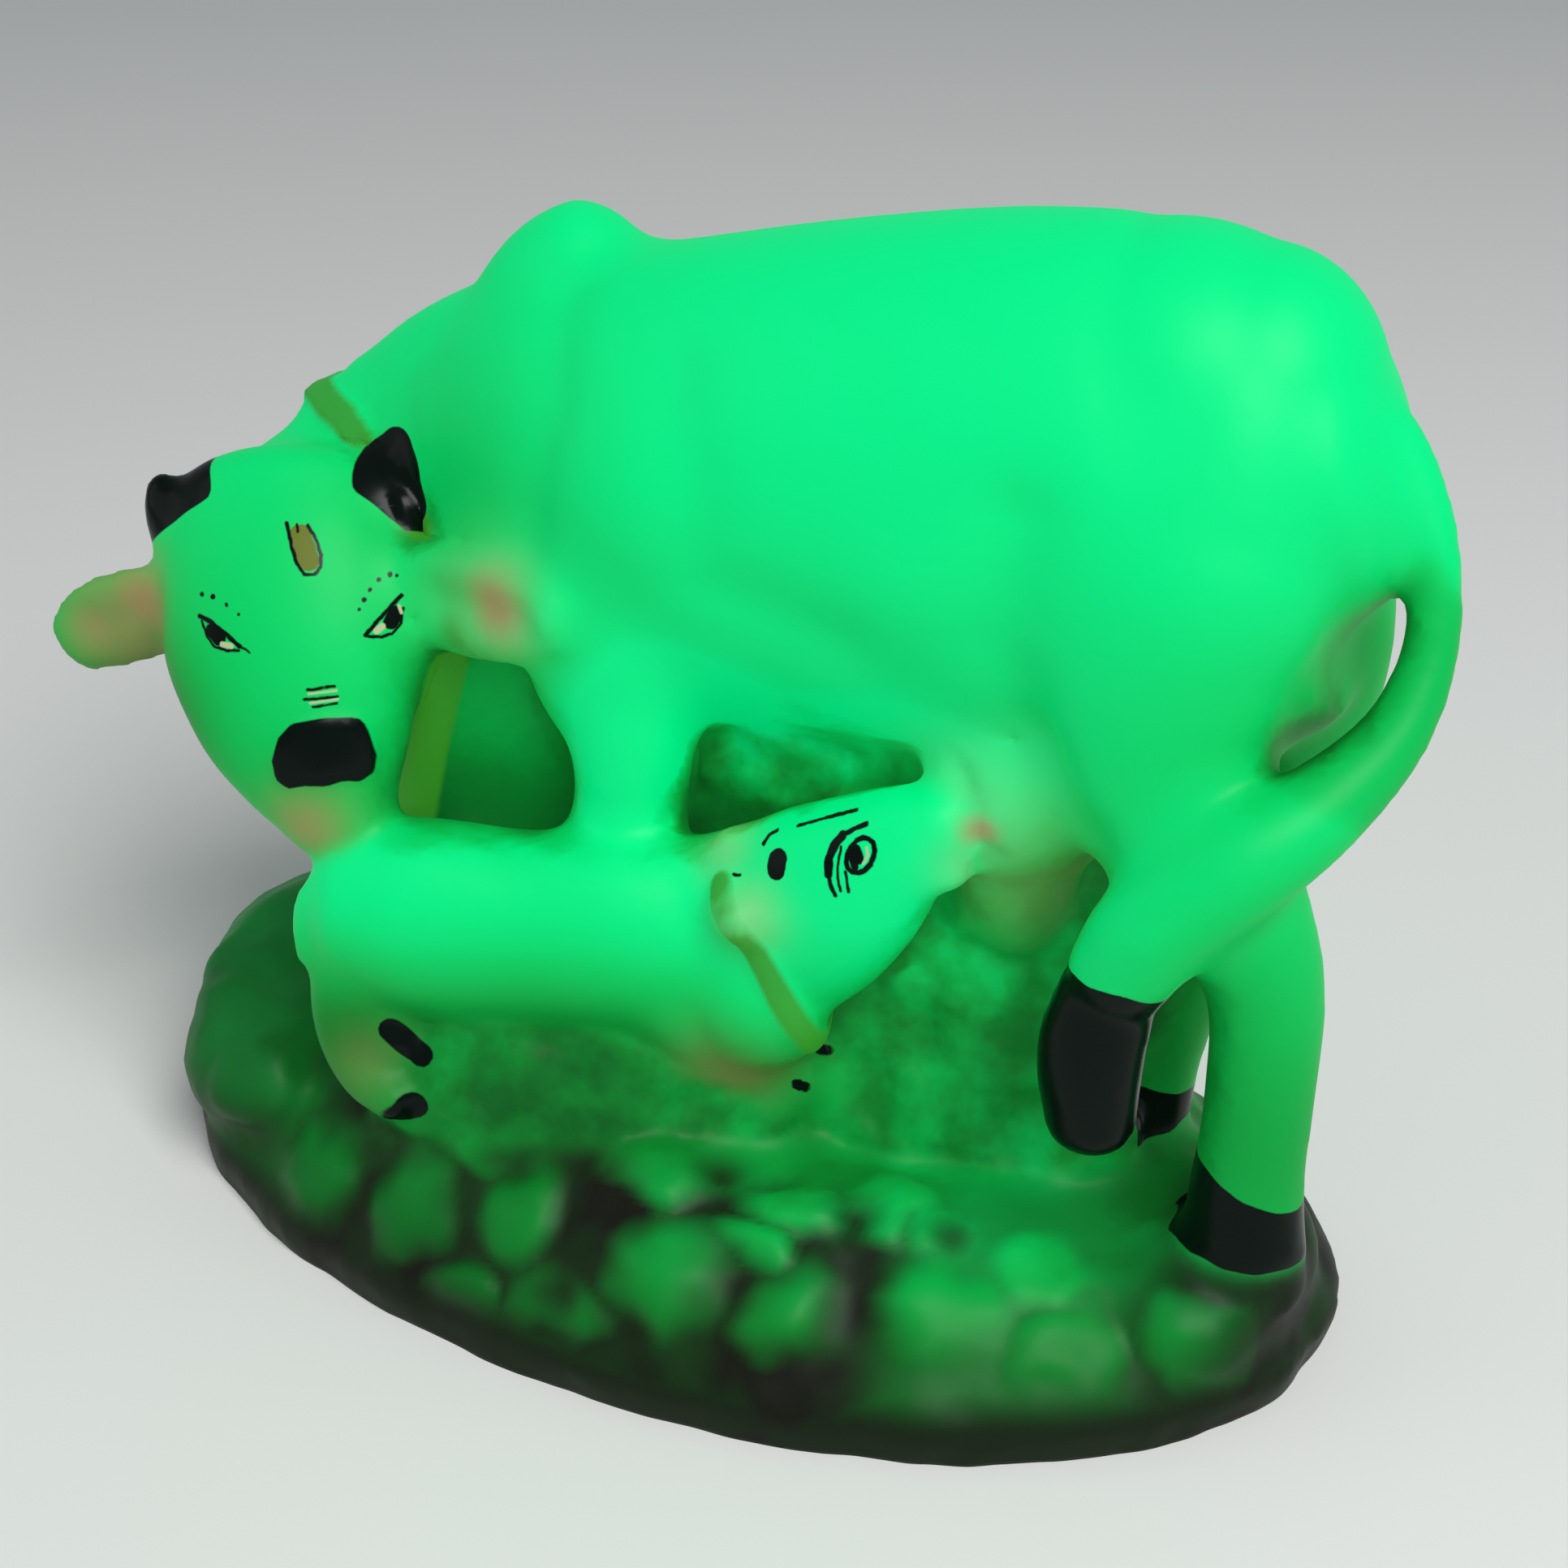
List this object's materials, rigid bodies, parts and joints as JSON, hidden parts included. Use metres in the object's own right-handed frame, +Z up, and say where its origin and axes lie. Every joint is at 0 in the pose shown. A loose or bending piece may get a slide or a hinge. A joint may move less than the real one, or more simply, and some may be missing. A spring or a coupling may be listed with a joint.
{
  "type": "cow and calf figurine",
  "caption": "Small cast figurine of a humped cow licking the calf at its side, both standing on a rocky oval base.",
  "frame": {"origin": "centre of the flat underside of the base", "axes": "+Z up; the cow's body runs along X with its head towards -X; its left side, where the calf stands, faces -Y"},
  "size_m": [0.1068, 0.059, 0.0887],
  "materials": {
    "painted_resin": "night-glow cast resin with hand-painted black, golden, pink and dark green details"
  },
  "bodies": {
    "root": {"cow_and_calf_figurine": "painted_resin"}
  },
  "joints": []
}
